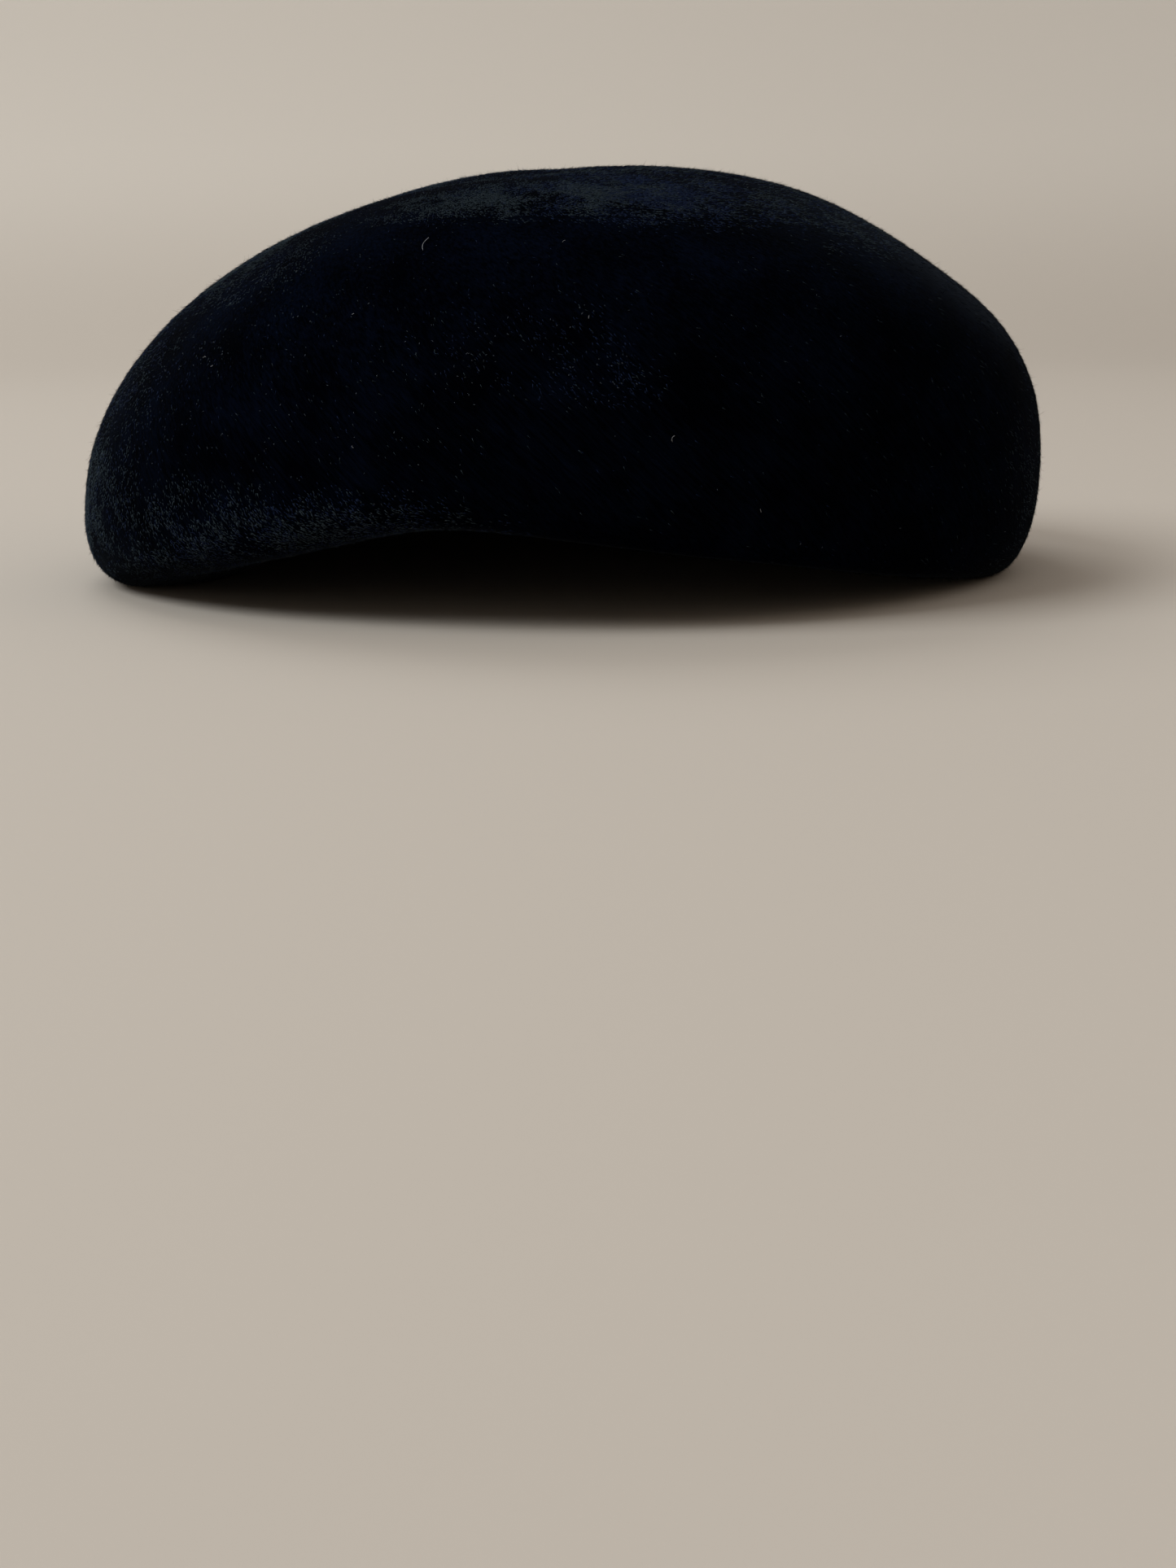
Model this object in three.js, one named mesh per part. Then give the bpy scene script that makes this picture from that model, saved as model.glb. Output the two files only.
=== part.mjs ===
// A plain tam: one piece of black velour felt, blocked into a wide soft crown.
//
// The rim turns in under the crown to an oval head opening, and its front rises in
// a low arch over the brow. The crown stands out further past the head on the left
// than on the right. Millimetres, +Z up, the front towards -Y, the viewer's right
// towards +X. The tam rests on the back half of its rim and on its two side lobes,
// and the origin is on that surface, under the middle of the crown.

import * as THREE from 'three';

// The head opening, and how far the crown stands out past it on each side.
const HEAD_WIDTH = 152;
const HEAD_DEPTH = 184;
const OVERHANG_LEFT = 40;
const OVERHANG_RIGHT = 23;
const OVERHANG_FRONT = 8;
const OVERHANG_BACK = 26;

// The crown's height, the rise of the rim's arch over the brow, and the felt.
const CROWN_HEIGHT = 88;
const BROW_ARCH = 19.4;
const FELT_THICKNESS = 2.5;

// The flat foot that the rim rests on, as a share of the turned-in hem, and the
// hem's rise towards the head, for each millimetre of its width.
const FOOT_SHARE = 0.3;
const HEM_TURN_UP = 0.2;

// The mesh: bearings round the crown, and rings down each stretch of a section.
const BEARINGS = 80;
const CROWN_RINGS = 12;
const LOBE_RINGS = 6;
const HEM_RINGS = 2;

// Sections of the felt at bearings from the front, in degrees towards the right.
// reach: share of the plan oval's radius at that bearing
// belly: height of the widest place above the rim, as a share of the crown's height above it
// dome, lobe: exponents of the curves above and below it (2 is an ellipse, more is fuller)
// lift: height of the rim, as a share of the brow's arch
// tuck: how far the rim lies inside the widest place, as a share of the overhang
const SECTIONS = [
  { bearing: 0, reach: 1.0, belly: 0.187, dome: 3.0, lobe: 2.2, lift: 0.91, tuck: 0.8 },
  { bearing: 20, reach: 1.0, belly: 0.24, dome: 2.85, lobe: 2.2, lift: 0.65, tuck: 0.7 },
  { bearing: 50, reach: 0.992, belly: 0.305, dome: 2.45, lobe: 2.2, lift: 0.23, tuck: 0.6 },
  { bearing: 78, reach: 1.0, belly: 0.3, dome: 2.14, lobe: 2.3, lift: 0.0, tuck: 0.5 },
  { bearing: 105, reach: 1.0, belly: 0.29, dome: 2.12, lobe: 2.3, lift: 0.0, tuck: 0.46 },
  { bearing: 180, reach: 1.0, belly: 0.28, dome: 2.1, lobe: 2.2, lift: 0.0, tuck: 0.45 },
  { bearing: 250, reach: 1.0, belly: 0.18, dome: 1.98, lobe: 2.4, lift: 0.0, tuck: 0.36 },
  { bearing: 283, reach: 1.0, belly: 0.172, dome: 1.93, lobe: 2.5, lift: 0.0, tuck: 0.32 },
  { bearing: 305, reach: 0.992, belly: 0.165, dome: 2.12, lobe: 2.4, lift: 0.3, tuck: 0.35 },
  { bearing: 330, reach: 0.992, belly: 0.18, dome: 2.6, lobe: 2.2, lift: 0.72, tuck: 0.5 },
  { bearing: 349, reach: 1.0, belly: 0.167, dome: 2.95, lobe: 2.2, lift: 1.0, tuck: 0.75 },
];

// Soft dents in the felt, and swells, which are dents of negative depth.
// x, y, z: the middle, and rx, ry, rz: the reach, as shares of half the crown's
// width, half its depth and its height; depth: share of its height
const DENTS = [
  { name: 'top swell', x: 0.37, y: 0.05, z: 0.955, rx: 0.63, ry: 0.74, rz: 0.68, depth: -0.025 },
  { name: 'left slope', x: -0.45, y: 0.0, z: 0.88, rx: 0.36, ry: 0.9, rz: 0.5, depth: 0.006 },
  { name: 'left corner', x: -0.13, y: 0.0, z: 0.98, rx: 0.24, ry: 0.8, rz: 0.5, depth: -0.006 },
  { name: 'right corner', x: 0.46, y: 0.0, z: 0.93, rx: 0.2, ry: 0.8, rz: 0.5, depth: -0.006 },
  { name: 'right shoulder', x: 0.76, y: 0.0, z: 0.795, rx: 0.26, ry: 1.1, rz: 0.36, depth: 0.011 },
  { name: 'brow ridge', x: -0.2, y: -0.74, z: 0.86, rx: 0.75, ry: 0.26, rz: 0.4, depth: -0.012 },
  { name: 'dish behind brow', x: -0.17, y: -0.32, z: 1.01, rx: 0.66, ry: 0.4, rz: 0.68, depth: 0.032 },
];

// Dents push the felt towards this place on the crown's axis, a share of its height.
const DENT_CORE = 0.23;

// The plan oval of the crown, centred on the origin, and the head opening in it.
const PLAN = {
  x: 0,
  y: 0,
  halfWidth: (HEAD_WIDTH + OVERHANG_LEFT + OVERHANG_RIGHT) / 2,
  halfDepth: (HEAD_DEPTH + OVERHANG_FRONT + OVERHANG_BACK) / 2,
};
const OPENING = {
  x: (OVERHANG_LEFT - OVERHANG_RIGHT) / 2,
  y: (OVERHANG_FRONT - OVERHANG_BACK) / 2,
  halfWidth: HEAD_WIDTH / 2,
  halfDepth: HEAD_DEPTH / 2,
};

// A column of the table of sections at any bearing: a smooth curve through its rows
// that never passes beyond them.
function sectionValue(column, bearing) {
  const count = SECTIONS.length;
  const row = (k) => {
    const turns = Math.floor(k / count);
    const section = SECTIONS[k - turns * count];
    return { at: section.bearing + 360 * turns, value: section[column] };
  };
  const rise = (k) => (row(k + 1).value - row(k).value) / (row(k + 1).at - row(k).at);
  const slope = (k) => {
    const before = rise(k - 1);
    const after = rise(k);
    return before * after > 0 ? (2 * before * after) / (before + after) : 0;
  };
  let k = 0;
  while (row(k + 1).at <= bearing) k += 1;
  const span = row(k + 1).at - row(k).at;
  const t = (bearing - row(k).at) / span;
  const ease = t * t * (3 - 2 * t);
  const start = t * (1 - t) * (1 - t);
  const end = t * t * (t - 1);
  const along = row(k).value + (row(k + 1).value - row(k).value) * ease;
  return along + (start * slope(k) + end * slope(k + 1)) * span;
}

// A point on the quarter of a unit superellipse, at an angle from its side.
function superellipse(exponent, angle) {
  const across = Math.cos(angle);
  const up = Math.sin(angle);
  const radius = (across ** exponent + up ** exponent) ** (-1 / exponent);
  return { across: radius * across, up: radius * up };
}

// Distance from the crown's axis to an oval's edge, along a direction in plan.
function ovalReach(oval, dx, dy) {
  const u = dx / oval.halfWidth;
  const v = dy / oval.halfDepth;
  const cu = oval.x / oval.halfWidth;
  const cv = oval.y / oval.halfDepth;
  const a = u * u + v * v;
  const b = u * cu + v * cv;
  const c = cu * cu + cv * cv - 1;
  return (b + Math.sqrt(b * b - a * c)) / a;
}

// One section of a skin of the felt, from below the apex to the head opening's edge,
// as distances from the axis and heights. inset is 0 on the outside and the felt's
// thickness on the inside.
function section(bearing, inset) {
  const angle = THREE.MathUtils.degToRad(bearing);
  const dx = Math.sin(angle);
  const dy = -Math.cos(angle);
  const widest = sectionValue('reach', bearing) * ovalReach(PLAN, dx, dy);
  const mouth = ovalReach(OPENING, dx, dy);
  const rim = sectionValue('lift', bearing) * BROW_ARCH;
  const belly = rim + sectionValue('belly', bearing) * (CROWN_HEIGHT - rim);
  const dome = sectionValue('dome', bearing);
  const lobe = sectionValue('lobe', bearing);
  const foot = widest - sectionValue('tuck', bearing) * (widest - mouth);
  const heel = foot - FOOT_SHARE * (foot - mouth);

  const points = [];
  for (let k = 1; k <= CROWN_RINGS; k += 1) {
    const { across, up } = superellipse(dome, (Math.PI / 2) * (1 - k / CROWN_RINGS));
    points.push([(widest - inset) * across, belly + (CROWN_HEIGHT - inset - belly) * up]);
  }
  for (let k = 1; k <= LOBE_RINGS; k += 1) {
    const { across, up } = superellipse(lobe, (Math.PI / 2) * (k / LOBE_RINGS));
    points.push([foot + (widest - inset - foot) * across, belly - (belly - rim - inset) * up]);
  }
  for (let k = 0; k <= HEM_RINGS; k += 1) {
    const share = k / HEM_RINGS;
    const rise = HEM_TURN_UP * (heel - mouth) * share * share;
    points.push([heel + (mouth - heel) * share, rim + inset + rise]);
  }
  return points.map(([r, z]) => new THREE.Vector3(r * dx, r * dy, z));
}

// Pushes a point of the felt in by the dents around it.
function dent(point) {
  const core = new THREE.Vector3(0, 0, DENT_CORE * CROWN_HEIGHT);
  const outward = point.clone().sub(core).normalize();
  let push = 0;
  for (const { x, y, z, rx, ry, rz, depth } of DENTS) {
    const u = (point.x / PLAN.halfWidth - x) / rx;
    const v = (point.y / PLAN.halfDepth - y) / ry;
    const w = (point.z / CROWN_HEIGHT - z) / rz;
    push += depth * CROWN_HEIGHT * Math.max(0, 1 - u * u - v * v - w * w) ** 4;
  }
  return point.clone().addScaledVector(outward, -push);
}

// The closed shell: down the outside, over the cut edge at the head opening, and up
// the inside, between an apex on each side of the felt.
function feltShell() {
  const bearings = Array.from({ length: BEARINGS }, (_, i) => (360 * i) / BEARINGS);
  const meridians = bearings.map((bearing) => [
    ...section(bearing, 0),
    ...section(bearing, FELT_THICKNESS).reverse(),
  ]);
  const rings = meridians[0].length;

  const points = [dent(new THREE.Vector3(0, 0, CROWN_HEIGHT))];
  for (const meridian of meridians) {
    points.push(...meridian.map(dent));
  }
  points.push(dent(new THREE.Vector3(0, 0, CROWN_HEIGHT - FELT_THICKNESS)));

  const at = (i, j) => 1 + (i % BEARINGS) * rings + j;
  const top = 0;
  const ceiling = points.length - 1;
  const faces = [];
  for (let i = 0; i < BEARINGS; i += 1) {
    faces.push(top, at(i, 0), at(i + 1, 0));
    for (let j = 0; j + 1 < rings; j += 1) {
      faces.push(at(i, j), at(i, j + 1), at(i + 1, j + 1));
      faces.push(at(i, j), at(i + 1, j + 1), at(i + 1, j));
    }
    faces.push(at(i, rings - 1), ceiling, at(i + 1, rings - 1));
  }

  const geometry = new THREE.BufferGeometry().setFromPoints(points);
  geometry.setIndex(faces);
  geometry.computeVertexNormals();
  return geometry;
}

const blackVelour = new THREE.MeshStandardMaterial({ color: 0x08080b, roughness: 0.95, metalness: 0 });

const feltCrown = new THREE.Mesh(feltShell(), blackVelour);
feltCrown.name = 'felt_crown';

const tam = new THREE.Group();
tam.add(feltCrown);

export default tam;
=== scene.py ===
"""Looks of a black velour felt tam: its felt, nap and lint, on a pale stage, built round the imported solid."""
import math

import bmesh
import bpy
import numpy as np
from mathutils import Matrix, Vector, noise


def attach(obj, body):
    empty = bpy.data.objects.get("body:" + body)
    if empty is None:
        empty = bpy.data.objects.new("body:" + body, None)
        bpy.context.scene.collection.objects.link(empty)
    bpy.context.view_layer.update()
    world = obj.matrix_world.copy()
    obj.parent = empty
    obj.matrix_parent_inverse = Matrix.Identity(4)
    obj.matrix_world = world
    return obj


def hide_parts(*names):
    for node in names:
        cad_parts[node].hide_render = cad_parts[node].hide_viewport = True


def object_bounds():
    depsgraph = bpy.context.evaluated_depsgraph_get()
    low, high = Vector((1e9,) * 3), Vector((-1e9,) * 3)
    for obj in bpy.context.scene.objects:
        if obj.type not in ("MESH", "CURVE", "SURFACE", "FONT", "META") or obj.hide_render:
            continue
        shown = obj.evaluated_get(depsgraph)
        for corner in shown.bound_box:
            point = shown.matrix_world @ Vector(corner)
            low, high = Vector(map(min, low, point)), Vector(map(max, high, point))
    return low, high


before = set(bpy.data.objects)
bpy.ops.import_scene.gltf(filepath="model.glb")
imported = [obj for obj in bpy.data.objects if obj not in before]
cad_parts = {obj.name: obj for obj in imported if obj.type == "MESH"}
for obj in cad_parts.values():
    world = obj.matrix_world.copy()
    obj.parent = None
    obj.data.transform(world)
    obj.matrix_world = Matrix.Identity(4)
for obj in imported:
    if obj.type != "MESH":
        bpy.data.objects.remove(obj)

MM = 0.001
CAD_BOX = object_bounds()

# Half the tam's width, half its depth and its height. Places on it are shares of these three.
TAM_SIZE = np.array(CAD_BOX[1])
TAM_RADIUS = CAD_BOX[1].x
TAM_HEIGHT = CAD_BOX[1].z

# The photograph: its size and perspective in pixels, and where the tam's middle lies in it.
PHOTO_WIDTH = 1445
PHOTO_HEIGHT = 1927
FOCAL_PIXELS = 2800
TAM_PIXEL = (689, 463)
TAM_MIDDLE = Vector((0, 0, 43 * MM))

# The camera: its distance from the tam's middle, its height over it, its lean, and its sensor in mm.
CAMERA_DISTANCE = 518 * MM
CAMERA_ELEVATION = math.radians(2.5)
CAMERA_ROLL = math.radians(0.8)
SENSOR = 36

# The felt: corners nearer than the distance are one, facets join into quads where their angles
# differ by less than the angle, and the quads are rounded in this many steps.
WELD_DISTANCE = 0.01 * MM
FACET_ANGLE = math.radians(60)
ROUNDING_LEVELS = 2

# The soft unevenness of a hand-blocked form, which fades out over the foot.
UNEVEN_DEPTH = 0.45 * MM
UNEVEN_SPAN = 34 * MM
FOOT_HEIGHT = 12 * MM

# The velour under the nap: soft blotches, and streaks that are long along the nap. Its tones are
# given at levels of both together.
BLOTCHES = {"Scale": 70.0, "Detail": 4.0, "Roughness": 0.6}
STREAKS = {"Scale": 1500.0, "Detail": 2.0, "Roughness": 0.6}
STREAK_STRETCH = 5
STREAK_RELIEF = {"Strength": 0.5, "Distance": 0.3 * MM}
VELOUR_TONES = [
    {"level": 0.18, "colour": (0.0002, 0.0003, 0.0008)},
    {"level": 0.42, "colour": (0.0009, 0.0018, 0.0050)},
]

# The nap lies round the crown towards the viewer's right, and down: it turns by one radian for
# each radius that it falls.
NAP_TURN = 1.0 / TAM_RADIUS
NAP_SEED = 7

# Each layer of nap: its fibres' count, length and root width in mm, how far they stand up and
# stray (shares of their length), how high their roots lie over the felt in mm, where they grow,
# how many places are tried for each fibre, the ones in soft patches kept, and their colour.
NAP = [
    {"name": "nap_under", "count": 40000, "length": 1.5, "width": 0.08, "stand": 0.28, "stray": 0.35,
     "root": -0.1, "where": "all_over", "tries": 1, "colour": (0.0004, 0.0008, 0.0024)},
    {"name": "nap_over", "count": 38000, "length": 1.8, "width": 0.08, "stand": 0.22, "stray": 0.45,
     "root": -0.1, "where": "all_over", "tries": 1, "colour": (0.0007, 0.0016, 0.0037)},
    # Grey-teal fibres: a painted sheen where the light grazes the felt, with some wear.
    {"name": "nap_sheen_and_wear", "count": 49000, "length": 1.0, "width": 0.09, "stand": 0.25, "stray": 0.32,
     "root": 0.0, "where": "grey_sheen_and_wear", "tries": 3, "colour": (0.0410, 0.0560, 0.0660)},
    # Blue fibres: a painted cool sheen on the lit parts of the crown and the rims.
    {"name": "nap_cool_sheen", "count": 32000, "length": 1.0, "width": 0.09, "stand": 0.25, "stray": 0.32,
     "root": 0.0, "where": "cool_sheen", "tries": 3, "colour": (0.0160, 0.0250, 0.0600)},
    {"name": "nap_dust", "count": 900, "length": 0.4, "width": 0.12, "stand": 0.50, "stray": 1.20,
     "root": 0.3, "where": "dust", "tries": 3, "colour": (0.0900, 0.1050, 0.1250)},
    {"name": "nap_rim", "count": 16000, "length": 0.8, "width": 0.06, "stand": 1.00, "stray": 0.50,
     "root": -0.1, "where": "rim", "tries": 1, "colour": (0.0025, 0.0027, 0.0033)},
]

# How much single fibres differ: the least and the most, as shares of their layer's own values.
STAND_SPREAD = (0.4, 1.6)
LENGTH_SPREAD = (0.5, 1.3)
WIDTH_SPREAD = (0.6, 1.2)

# A fibre falls by this share of its root's height at most, so that none goes through the floor.
FALL_SHARE = 0.9

# Nothing grows on the foot. What faces away from this point on the axis is outside, and what
# faces down by more than the slope is the fold of the rim.
BARE_FOOT = 0.4 * MM
AXIS_POINT = np.array([0.0, 0.0, 0.3 * TAM_HEIGHT])
FOLD_SLOPE = -0.5

# Where the nap is given a painted sheen in grey and in blue, mostly where the light grazes the felt, with some
# wear,
# and where it is dusty: middles and reaches, and how strongly. It is strongest in the middle and fades out by
# this power.
SHEEN_AND_WEAR = [
    {"name": "all over", "x": 0.0, "y": 0.0, "z": 0.5, "rx": 3.0, "ry": 3.0, "rz": 3.0,
     "grey_sheen_and_wear": 0.01, "cool_sheen": 0.01, "dust": 0.04},
    {"name": "back", "x": 0.1, "y": 0.7, "z": 0.5, "rx": 1.6, "ry": 1.1, "rz": 1.2,
     "grey_sheen_and_wear": 0.12, "cool_sheen": 0.14, "dust": 0.08},
    {"name": "back rim", "x": 0.2, "y": 0.85, "z": 0.15, "rx": 0.9, "ry": 0.5, "rz": 0.3,
     "grey_sheen_and_wear": 0.5, "cool_sheen": 0.3, "dust": 0.3},
    # Painted highlight along the far edge of the top, where the light grazes it.
    {"name": "crown top", "x": 0.0, "y": 0.1, "z": 0.98, "rx": 0.95, "ry": 0.8, "rz": 0.36,
     "grey_sheen_and_wear": 0.6, "cool_sheen": 0.4, "dust": 0.1},
    # The lobes and the lower rims: painted light, where they catch light from the left and from below.
    {"name": "left lobe", "x": -0.95, "y": -0.35, "z": 0.2, "rx": 0.22, "ry": 0.6, "rz": 0.24,
     "grey_sheen_and_wear": 1.2, "cool_sheen": 0.4, "dust": 0.3},
    {"name": "left rim", "x": -0.62, "y": -0.75, "z": 0.09, "rx": 0.5, "ry": 0.4, "rz": 0.25,
     "grey_sheen_and_wear": 1.4, "cool_sheen": 1.1, "dust": 0.6},
    {"name": "brow rim", "x": -0.34, "y": -0.93, "z": 0.2, "rx": 0.3, "ry": 0.24, "rz": 0.13,
     "grey_sheen_and_wear": 0.7, "cool_sheen": 1.3, "dust": 0.5},
    {"name": "right lobe", "x": 0.95, "y": -0.3, "z": 0.2, "rx": 0.16, "ry": 0.5, "rz": 0.34,
     "grey_sheen_and_wear": 0.25, "cool_sheen": 0.0, "dust": 0.1},
    # The left edges, the brow ridge and the crown's front and right: a painted sheen band where the light
    # grazes the brow and the top.
    {"name": "left edge", "x": -0.86, "y": -0.3, "z": 0.6, "rx": 0.26, "ry": 0.7, "rz": 0.4,
     "grey_sheen_and_wear": 0.2, "cool_sheen": 0.3, "dust": 0.2},
    {"name": "brow left", "x": -0.55, "y": -0.42, "z": 0.79, "rx": 0.38, "ry": 0.34, "rz": 0.15,
     "grey_sheen_and_wear": 1.8, "cool_sheen": 0.4, "dust": 0.3},
    {"name": "brow ridge", "x": -0.14, "y": -0.72, "z": 0.9, "rx": 0.52, "ry": 0.19, "rz": 0.06,
     "grey_sheen_and_wear": 4.2, "cool_sheen": 0.8, "dust": 0.3},
    {"name": "crown front", "x": 0.2, "y": -0.67, "z": 0.9, "rx": 0.34, "ry": 0.3, "rz": 0.09,
     "grey_sheen_and_wear": 0.8, "cool_sheen": 3.2, "dust": 0.2},
    {"name": "crown right", "x": 0.53, "y": -0.48, "z": 0.85, "rx": 0.28, "ry": 0.32, "rz": 0.11,
     "grey_sheen_and_wear": 0.8, "cool_sheen": 0.4, "dust": 0.0},
    {"name": "brow middle", "x": -0.05, "y": -0.97, "z": 0.6, "rx": 0.24, "ry": 0.2, "rz": 0.14,
     "grey_sheen_and_wear": 0.03, "cool_sheen": 0.35, "dust": 1.2},
    {"name": "brow tuft", "x": 0.1, "y": -0.98, "z": 0.54, "rx": 0.13, "ry": 0.2, "rz": 0.09,
     "grey_sheen_and_wear": 0.05, "cool_sheen": 0.4, "dust": 1.8},
    {"name": "front left", "x": -0.5, "y": -0.8, "z": 0.45, "rx": 0.5, "ry": 0.6, "rz": 0.45,
     "grey_sheen_and_wear": 0.02, "cool_sheen": 0.02, "dust": 0.6},
]
SHEEN_AND_WEAR_FADE = 1.5

# The soft patches of the nap that paints sheen, wear and dust: the span of their noise, its turn away from the
# axes, so that its grid doesn't show, its roughness, step and octaves, and its shift from layer to layer. Then
# the
# chance of a fibre: in the middle, how much it varies, the least and the most.
PATCH_SPAN = 8 * MM
PATCH_TURN = Matrix.Rotation(0.7, 3, Vector((1, 2, 3)).normalized())
PATCH_NOISE = (0.7, 2.2, 4)
PATCH_SHIFT = 5.0
PATCH_CHANCE = 0.5
PATCH_CONTRAST = 1.5
PATCH_LEAST = 0.06
PATCH_MOST = 1.6

# Lint on the front: places, lengths and bends in mm, and turns from the level in radians.
LINT = [
    {"x": 0.20, "y": -0.98, "z": 0.41, "length": 1.2, "bend": 0.3, "turn": 1.2},
    {"x": 0.34, "y": -0.93, "z": 0.26, "length": 0.7, "bend": 0.0, "turn": 1.9},
    {"x": -0.34, "y": -0.87, "z": 0.67, "length": 0.5, "bend": 0.0, "turn": 0.4},
    {"x": -0.22, "y": -0.83, "z": 0.80, "length": 3.6, "bend": 0.6, "turn": 1.6},
    {"x": 0.02, "y": -0.87, "z": 0.80, "length": 0.7, "bend": 0.1, "turn": 0.8},
    {"x": 0.06, "y": -0.95, "z": 0.66, "length": 0.6, "bend": 0.0, "turn": 1.4},
    {"x": -0.63, "y": -0.68, "z": 0.58, "length": 0.9, "bend": 0.2, "turn": 0.2},
    {"x": -0.62, "y": -0.71, "z": 0.54, "length": 0.6, "bend": 0.0, "turn": 0.5},
    {"x": -0.34, "y": -0.93, "z": 0.39, "length": 0.5, "bend": 0.1, "turn": 2.2},
]
LINT_RADIUS = 0.035 * MM
LINT_LIFT = 0.35 * MM
LINT_STEPS = 4
LINT_COLOUR = (0.30, 0.30, 0.31)

# The stage: a round floor that curves up into a wall, and its tones at heights in metres.
FLOOR_RADIUS = 1.2
COVE_RADIUS = 1.4
WALL_HEIGHT = 1.6
STAGE_SEGMENTS = 96
COVE_STEPS = 16
STAGE_TONES = [
    {"level": 0.0, "colour": (0.385, 0.335, 0.285)},
    {"level": 0.2, "colour": (0.47, 0.42, 0.365)},
]

# The light: a cool window high on the left, one behind, a weak warm light on the right, and a
# pale room. Places and sizes are in metres, and powers in watts.
LIGHTS = [
    {"name": "window", "place": (-1.6, -0.7, 1.7), "size": 1.3, "power": 50, "colour": (0.86, 0.94, 1.0)},
    {"name": "back_window", "place": (-0.7, 1.4, 1.9), "size": 1.2, "power": 20, "colour": (0.9, 0.96, 1.0)},
    {"name": "lamp", "place": (1.3, -0.7, 0.7), "size": 0.8, "power": 2, "colour": (1.0, 0.84, 0.68)},
]
ROOM_COLOUR = (1.0, 0.97, 0.94)
ROOM_STRENGTH = 0.65

# Fibres are three-sided and lint is four-sided. No fibre lies along the oblique direction, so
# their sections are squared with it. Lengths under the last value count as none.
FIBRE_SIDES = 3
THREAD_SIDES = 4
OBLIQUE = np.array([0.31, 0.54, 0.78])
NO_LENGTH = 1e-9


def new_object(name, data):
    """A new object in the scene."""
    obj = bpy.data.objects.new(name, data)
    bpy.context.scene.collection.objects.link(obj)
    return obj


def mesh_object(name, vertices, faces):
    """A smooth mesh object made of these points and faces."""
    mesh = bpy.data.meshes.new(name)
    mesh.from_pydata(vertices, [], faces)
    mesh.update()
    mesh.shade_smooth()
    return new_object(name, mesh)


def evaluated_mesh(obj):
    """A new mesh of what an object's modifiers make of its own."""
    graph = bpy.context.evaluated_depsgraph_get()
    return bpy.data.meshes.new_from_object(obj.evaluated_get(graph))


def vertex_arrays(mesh):
    """The places and the normals of a mesh's vertices."""
    places = np.zeros(len(mesh.vertices) * 3)
    mesh.vertices.foreach_get("co", places)
    normals = np.zeros(len(mesh.vertices) * 3)
    mesh.vertices.foreach_get("normal", normals)
    return places.reshape(-1, 3), normals.reshape(-1, 3)


def unit(vectors):
    """The vectors at length 1."""
    return vectors / np.maximum(np.linalg.norm(vectors, axis=1, keepdims=True), NO_LENGTH)


def along_felt(vectors, normals):
    """The part of each vector that lies along the felt."""
    return vectors - normals * (vectors * normals).sum(1, keepdims=True)


def camera_from_photo():
    """The camera that sees the tam where and as the photograph does."""
    across = (TAM_PIXEL[0] - PHOTO_WIDTH / 2) / FOCAL_PIXELS
    down = (TAM_PIXEL[1] - PHOTO_HEIGHT / 2) / FOCAL_PIXELS
    pitch = CAMERA_ELEVATION - math.atan(down)
    forward = Vector((0, math.cos(pitch), -math.sin(pitch)))
    right = Matrix.Rotation(CAMERA_ROLL, 3, forward) @ Vector((1, 0, 0))
    up = right.cross(forward)
    data = bpy.data.cameras.new("camera")
    data.sensor_width = SENSOR
    data.lens = FOCAL_PIXELS * SENSOR / PHOTO_HEIGHT
    camera = new_object("camera", data)
    camera.matrix_world = Matrix((right, up, -forward)).transposed().to_4x4()
    camera.location = TAM_MIDDLE - CAMERA_DISTANCE * (forward + across * right - down * up)
    bpy.context.scene.camera = camera


def principled(name, **values):
    """A material and its shader, with the shader's sockets set to these values."""
    material = bpy.data.materials.new(name)
    material.use_nodes = True
    shader = material.node_tree.nodes["Principled BSDF"]
    for socket, value in values.items():
        shader.inputs[socket.replace("_", " ")].default_value = value
    return material, shader


def add_node(material, kind, links=(), **settings):
    """Adds a node; settings are its inputs' values or its own properties, links are (input, output) pairs."""
    node = material.node_tree.nodes.new(kind)
    for name, value in settings.items():
        socket = node.inputs.get(name.replace("_", " "))
        if socket is None:
            setattr(node, name, value)
        else:
            socket.default_value = value
    for socket, output in links:
        material.node_tree.links.new(node.inputs[socket], output)
    return node


def place_and_height(material):
    """The place of the point that is shaded, and its height over the floor."""
    place = add_node(material, "ShaderNodeNewGeometry").outputs["Position"]
    height = add_node(material, "ShaderNodeSeparateXYZ", [("Vector", place)]).outputs["Z"]
    return place, height


def tone_ramp(material, level, tones):
    """A ramp through two tones of a table."""
    node = add_node(material, "ShaderNodeValToRGB", [("Fac", level)])
    for stop, tone in zip(node.color_ramp.elements, tones):
        stop.position = tone["level"]
        stop.color = (*tone["colour"], 1)
    return node


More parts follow.
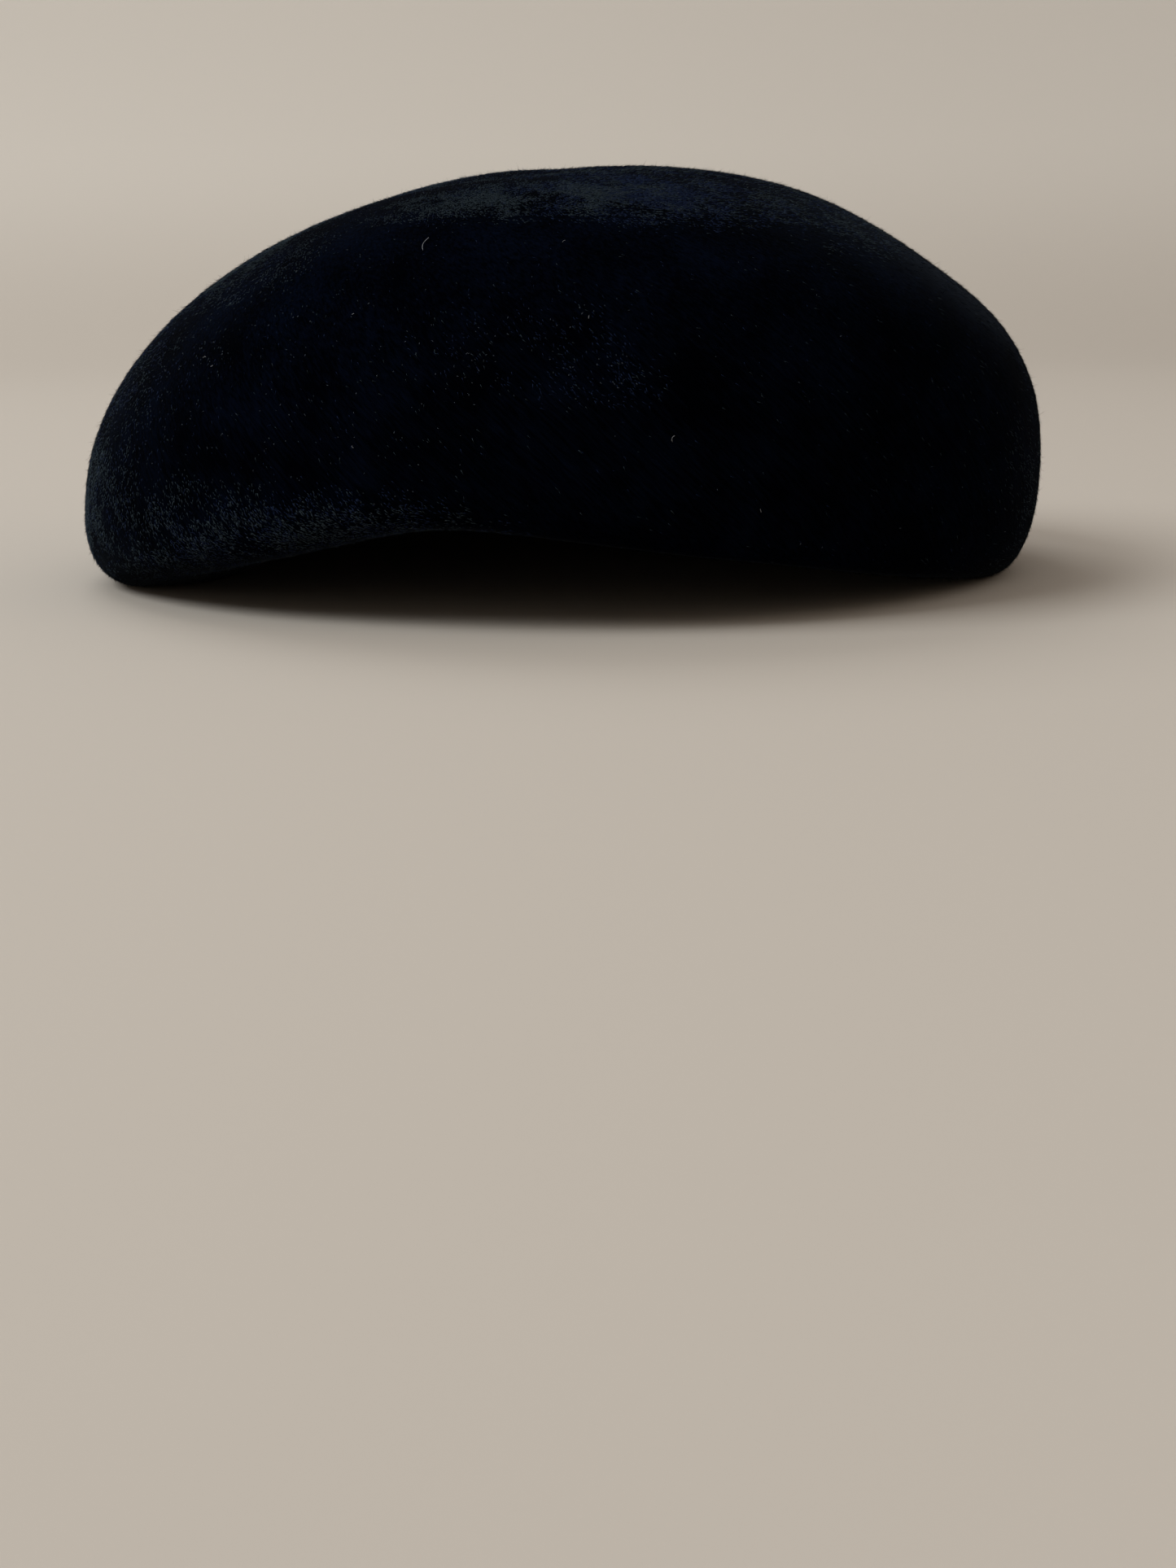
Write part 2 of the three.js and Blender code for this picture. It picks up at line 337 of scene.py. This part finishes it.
def velour_material():
    """Near-black velour: soft blotches, streaks along the nap, and a cool sheen at a slant."""
    material, shader = principled(
        "black_velour",
        Roughness=0.85,
        Specular_IOR_Level=0.0,
        Sheen_Weight=0.02,
        Sheen_Roughness=0.3,
        Sheen_Tint=(0.72, 0.84, 1.0, 1.0),
    )
    place, height = place_and_height(material)
    turn = add_node(material, "ShaderNodeMath", [(0, height)], operation="MULTIPLY")
    turn.inputs[1].default_value = NAP_TURN
    untwisted = add_node(
        material,
        "ShaderNodeVectorRotate",
        [("Vector", place), ("Angle", turn.outputs["Value"])],
        rotation_type="Z_AXIS",
    )
    along = add_node(
        material,
        "ShaderNodeMapping",
        [("Vector", untwisted.outputs["Vector"])],
        Scale=(1, 1, 1 / STREAK_STRETCH),
    )
    blotches = add_node(material, "ShaderNodeTexNoise", [("Vector", place)], **BLOTCHES).outputs["Fac"]
    streaks = add_node(
        material, "ShaderNodeTexNoise", [("Vector", along.outputs["Vector"])], **STREAKS
    ).outputs["Fac"]
    both = add_node(material, "ShaderNodeMath", [(0, blotches), (1, streaks)], operation="MULTIPLY")
    tone = tone_ramp(material, both.outputs["Value"], VELOUR_TONES)
    bump = add_node(material, "ShaderNodeBump", [("Height", streaks)], **STREAK_RELIEF)
    material.node_tree.links.new(shader.inputs["Base Color"], tone.outputs["Color"])
    material.node_tree.links.new(shader.inputs["Normal"], bump.outputs["Normal"])
    return material


def quad_mesh(node):
    """The CAD solid's own mesh, with its facets joined into quads."""
    form = bmesh.new()
    form.from_mesh(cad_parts[node].data)
    bmesh.ops.remove_doubles(form, verts=form.verts, dist=WELD_DISTANCE)
    bmesh.ops.join_triangles(
        form, faces=form.faces, angle_face_threshold=FACET_ANGLE, angle_shape_threshold=FACET_ANGLE
    )
    mesh = bpy.data.meshes.new("felt")
    form.to_mesh(mesh)
    form.free()
    return mesh


def rounded_felt(node):
    """The CAD solid's form with its facets rounded. The rounding still passes through its corners."""
    felt = new_object("felt", quad_mesh(node))
    rounding = felt.modifiers.new("rounding", "SUBSURF")
    rounding.levels = ROUNDING_LEVELS
    rounding.render_levels = ROUNDING_LEVELS
    corners = vertex_arrays(felt.data)[0]
    shrunk = vertex_arrays(evaluated_mesh(felt))[0][:len(corners)]
    felt.data.vertices.foreach_set("co", (2 * corners - shrunk).ravel())
    felt.data.update()
    felt.data = evaluated_mesh(felt)
    felt.modifiers.clear()
    return felt


def make_uneven(felt):
    """Swells the felt softly here and there, and leaves its foot flat on the floor."""
    places, normals = vertex_arrays(felt.data)
    swell = np.array([noise.noise(Vector(place) / UNEVEN_SPAN) for place in places])
    free = np.clip(places[:, 2] / FOOT_HEIGHT, 0, 1)
    places += normals * (UNEVEN_DEPTH * free * swell)[:, None]
    places[:, 2] = np.maximum(places[:, 2], 0)
    felt.data.vertices.foreach_set("co", places.ravel())
    felt.data.update()
    felt.data.shade_smooth()


def crown():
    """The felt of the tam, which stands for the CAD solid."""
    felt = rounded_felt("felt_crown")
    make_uneven(felt)
    felt.data.materials.clear()
    felt.data.materials.append(velour_material())
    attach(felt, "root")
    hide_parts("felt_crown")
    return felt


def felt_surface(felt):
    """The felt's triangles: their corners, the normals there, and their areas."""
    mesh = felt.data
    mesh.calc_loop_triangles()
    corners = np.zeros(len(mesh.loop_triangles) * 3, np.int32)
    mesh.loop_triangles.foreach_get("vertices", corners)
    corners = corners.reshape(-1, 3)
    places, normals = [values[corners] for values in vertex_arrays(mesh)]
    sides = np.cross(places[:, 1] - places[:, 0], places[:, 2] - places[:, 0])
    areas = np.linalg.norm(sides, axis=1) / 2
    return places, normals, areas


def all_over(places, normals):
    """Whether places are on the outside of the crown, off the foot."""
    return (((places - AXIS_POINT) * normals).sum(1) > 0) & (places[:, 2] > BARE_FOOT)


def rim(places, normals):
    """Whether places are on the fold of the felt round the underside, off the foot."""
    return all_over(places, normals) & (normals[:, 2] < FOLD_SLOPE)


def sheen_and_wear(column):
    """How strongly one column of the table puts its nap on the felt (grey and blue paint sheen, with some wear;
    dust is dust), as a function of places and normals.
    """
    def strength(places, normals):
        total = np.zeros(len(places))
        shares = places / TAM_SIZE
        for area in SHEEN_AND_WEAR:
            middle = [area["x"], area["y"], area["z"]]
            reach = [area["rx"], area["ry"], area["rz"]]
            away = (shares - middle) / reach
            total += area[column] * np.maximum(0, 1 - (away ** 2).sum(1)) ** SHEEN_AND_WEAR_FADE
        return total * all_over(places, normals)
    return strength


# What the layers of nap call the places where they grow.
GROWTH = {
    "all_over": all_over,
    "rim": rim,
    "grey_sheen_and_wear": sheen_and_wear("grey_sheen_and_wear"),
    "cool_sheen": sheen_and_wear("cool_sheen"),
    "dust": sheen_and_wear("dust"),
}


def scatter(surface, count, weight, dice):
    """Random places on the felt and the normals there, more of them where weight is higher."""
    places, normals, areas = surface
    chance = areas * weight(places.mean(1), normals.mean(1))
    chosen = dice.choice(len(areas), count, p=chance / chance.sum())
    u, v = dice.random(count), dice.random(count)
    flip = u + v > 1
    u[flip], v[flip] = 1 - u[flip], 1 - v[flip]
    shares = np.stack([1 - u - v, u, v], 1)[:, :, None]
    return (places[chosen] * shares).sum(1), unit((normals[chosen] * shares).sum(1))


def in_patches(places, count, shift, dice):
    """Which of these places to keep, so that they gather in soft patches."""
    turned = places @ np.array(PATCH_TURN) / PATCH_SPAN + shift
    patches = np.array([noise.fractal(Vector(place), *PATCH_NOISE) for place in turned])
    chance = np.clip(PATCH_CHANCE + PATCH_CONTRAST * patches, PATCH_LEAST, PATCH_MOST)
    return dice.choice(len(places), count, replace=False, p=chance / chance.sum())


def fibre_roots(surface, layer, number, dice):
    """Where the fibres of a layer stand on the felt, and the normals there."""
    count = layer["count"]
    roots, normals = scatter(surface, layer["tries"] * count, GROWTH[layer["where"]], dice)
    if layer["tries"] == 1:
        return roots, normals
    kept = in_patches(roots, count, PATCH_SHIFT * number, dice)
    return roots[kept], normals[kept]


def nap_direction(places, normals):
    """Where the nap is brushed to, along the felt: round the crown towards the right, and down."""
    radius = np.maximum(np.hypot(places[:, 0], places[:, 1]), MM)
    outward = np.stack([places[:, 0] / radius, places[:, 1] / radius, np.zeros(len(radius))], 1)
    around = np.stack([-outward[:, 1], outward[:, 0], np.zeros(len(radius))], 1)
    swept = around + outward - np.array([0.0, 0.0, 1.0])
    return unit(along_felt(swept, normals))


def spikes(name, roots, directions, lengths, widths):
    """One mesh of closed pointed fibres: the corners round each root, and then its tip."""
    side = unit(np.cross(directions, OBLIQUE))
    other = np.cross(directions, side)
    ring = []
    for corner in range(FIBRE_SIDES):
        turn = 2 * math.pi * corner / FIBRE_SIDES
        offset = math.cos(turn) * side + math.sin(turn) * other
        ring.append(roots + offset * widths[:, None] / 2)
    points = np.stack([*ring, roots + directions * lengths[:, None]], 1).reshape(-1, 3)
    tip = FIBRE_SIDES
    sides = [[corner, (corner + 1) % FIBRE_SIDES, tip] for corner in range(FIBRE_SIDES)]
    first = np.arange(len(roots))[:, None, None] * (FIBRE_SIDES + 1)
    faces = (first + np.array([[0, 2, 1], *sides])).reshape(-1, 3)
    return mesh_object(name, points.tolist(), faces.tolist())


def nap_layer(surface, layer, number):
    """The fibres of one layer of nap."""
    dice = np.random.default_rng(NAP_SEED + number)
    count = layer["count"]
    roots, normals = fibre_roots(surface, layer, number, dice)
    stray = along_felt(layer["stray"] * dice.normal(size=(count, 3)), normals)
    stand = layer["stand"] * dice.uniform(*STAND_SPREAD, count)[:, None]
    directions = unit(nap_direction(roots, normals) + stray + stand * normals)
    lengths = layer["length"] * MM * dice.uniform(*LENGTH_SPREAD, count)
    widths = layer["width"] * MM * dice.uniform(*WIDTH_SPREAD, count)
    roots += layer["root"] * MM * normals
    directions[:, 2] = np.maximum(directions[:, 2], -FALL_SHARE * roots[:, 2] / lengths)
    return spikes(layer["name"], roots, directions, lengths, widths)


def nap(felt):
    """The layers of nap on the felt, each a piece of its own."""
    surface = felt_surface(felt)
    for number, layer in enumerate(NAP):
        fibres = nap_layer(surface, layer, number)
        material = principled(
            layer["name"], Roughness=0.6, Specular_IOR_Level=0.015, Base_Color=(*layer["colour"], 1)
        )[0]
        fibres.data.materials.append(material)
        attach(fibres, "root")


def thread(line, radius):
    """The points and faces of one fine closed tube of square section along a line."""
    points = []
    for number, point in enumerate(line):
        ahead = line[min(number + 1, len(line) - 1)] - line[max(number - 1, 0)]
        side = ahead.orthogonal().normalized()
        other = ahead.cross(side).normalized()
        points += [point + radius * turn for turn in (side, other, -side, -other)]
    last = len(points) - THREAD_SIDES
    faces = [tuple(reversed(range(THREAD_SIDES))), tuple(range(last, len(points)))]
    for start in range(0, last, THREAD_SIDES):
        end = start + THREAD_SIDES
        for corner in range(THREAD_SIDES):
            after = (corner + 1) % THREAD_SIDES
            faces.append((start + corner, start + after, end + after, end + corner))
    return points, faces


def lint_line(bit, root, normal):
    """The bowed line of one bit of lint over a root on the felt."""
    level = Vector((0, 0, 1)).cross(normal).normalized()
    along = Matrix.Rotation(bit["turn"], 3, normal) @ level
    beside = normal.cross(along)
    line = []
    for step in range(LINT_STEPS + 1):
        share = step / LINT_STEPS - 0.5
        shift = along * share * bit["length"] + beside * bit["bend"] * (1 - 4 * share * share)
        line.append(root + shift * MM + normal * LINT_LIFT)
    return line


def lint(felt):
    """A few pale bits of lint on the nap."""
    places, normals = vertex_arrays(felt.data)
    vertices, faces = [], []
    for bit in LINT:
        spot = np.array([bit["x"], bit["y"], bit["z"]]) * TAM_SIZE
        nearest = ((places - spot) ** 2).sum(1).argmin()
        line = lint_line(bit, Vector(places[nearest]), Vector(normals[nearest]))
        points, sides = thread(line, LINT_RADIUS)
        faces += [tuple(len(vertices) + corner for corner in side) for side in sides]
        vertices += points
    bits = mesh_object("lint", vertices, faces)
    bits.data.materials.append(principled("lint", Roughness=0.9, Base_Color=(*LINT_COLOUR, 1))[0])
    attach(bits, "root")


def stage_material():
    """Matt paint, a little paler up the wall."""
    material, shader = principled("stage_paint", Roughness=0.85, Specular_IOR_Level=0.2)
    tone = tone_ramp(material, place_and_height(material)[1], STAGE_TONES)
    tone.color_ramp.interpolation = "EASE"
    material.node_tree.links.new(shader.inputs["Base Color"], tone.outputs["Color"])
    return material


def stage():
    """A pale floor that curves up into a wall, all round: one profile turned about the axis."""
    profile = [(0.0, 0.0), (FLOOR_RADIUS, 0.0)]
    for step in range(1, COVE_STEPS + 1):
        turn = math.pi / 2 * step / COVE_STEPS
        profile.append((FLOOR_RADIUS + COVE_RADIUS * math.sin(turn), COVE_RADIUS * (1 - math.cos(turn))))
    profile.append((FLOOR_RADIUS + COVE_RADIUS, WALL_HEIGHT))
    rows = len(profile)
    vertices, faces = [], []
    for segment in range(STAGE_SEGMENTS):
        angle = 2 * math.pi * segment / STAGE_SEGMENTS
        vertices += [(r * math.cos(angle), r * math.sin(angle), z) for r, z in profile]
        here = segment * rows
        there = (segment + 1) % STAGE_SEGMENTS * rows
        faces += [(here + k, here + k + 1, there + k + 1, there + k) for k in range(rows - 1)]
    floor = mesh_object("stage", vertices, faces)
    merged = bmesh.new()
    merged.from_mesh(floor.data)
    bmesh.ops.remove_doubles(merged, verts=merged.verts, dist=MM)
    merged.to_mesh(floor.data)
    merged.free()
    floor.data.materials.append(stage_material())


def area_light(name, place, size, power, colour):
    """A soft square light that looks at the tam's middle."""
    data = bpy.data.lights.new(name, "AREA")
    data.size = size
    data.energy = power
    data.color = colour
    light = new_object(name, data)
    light.location = place
    light.rotation_euler = (TAM_MIDDLE - Vector(place)).to_track_quat("-Z", "Y").to_euler()


def lights():
    """The windows, the lamp and the light of the pale room."""
    for light in LIGHTS:
        area_light(**light)
    world = bpy.data.worlds.new("room")
    world.use_nodes = True
    background = world.node_tree.nodes["Background"]
    background.inputs["Color"].default_value = (*ROOM_COLOUR, 1)
    background.inputs["Strength"].default_value = ROOM_STRENGTH
    bpy.context.scene.world = world
    bpy.context.scene.view_settings.view_transform = "Standard"


camera_from_photo()
stage()
lights()

felt = crown()
nap(felt)
lint(felt)
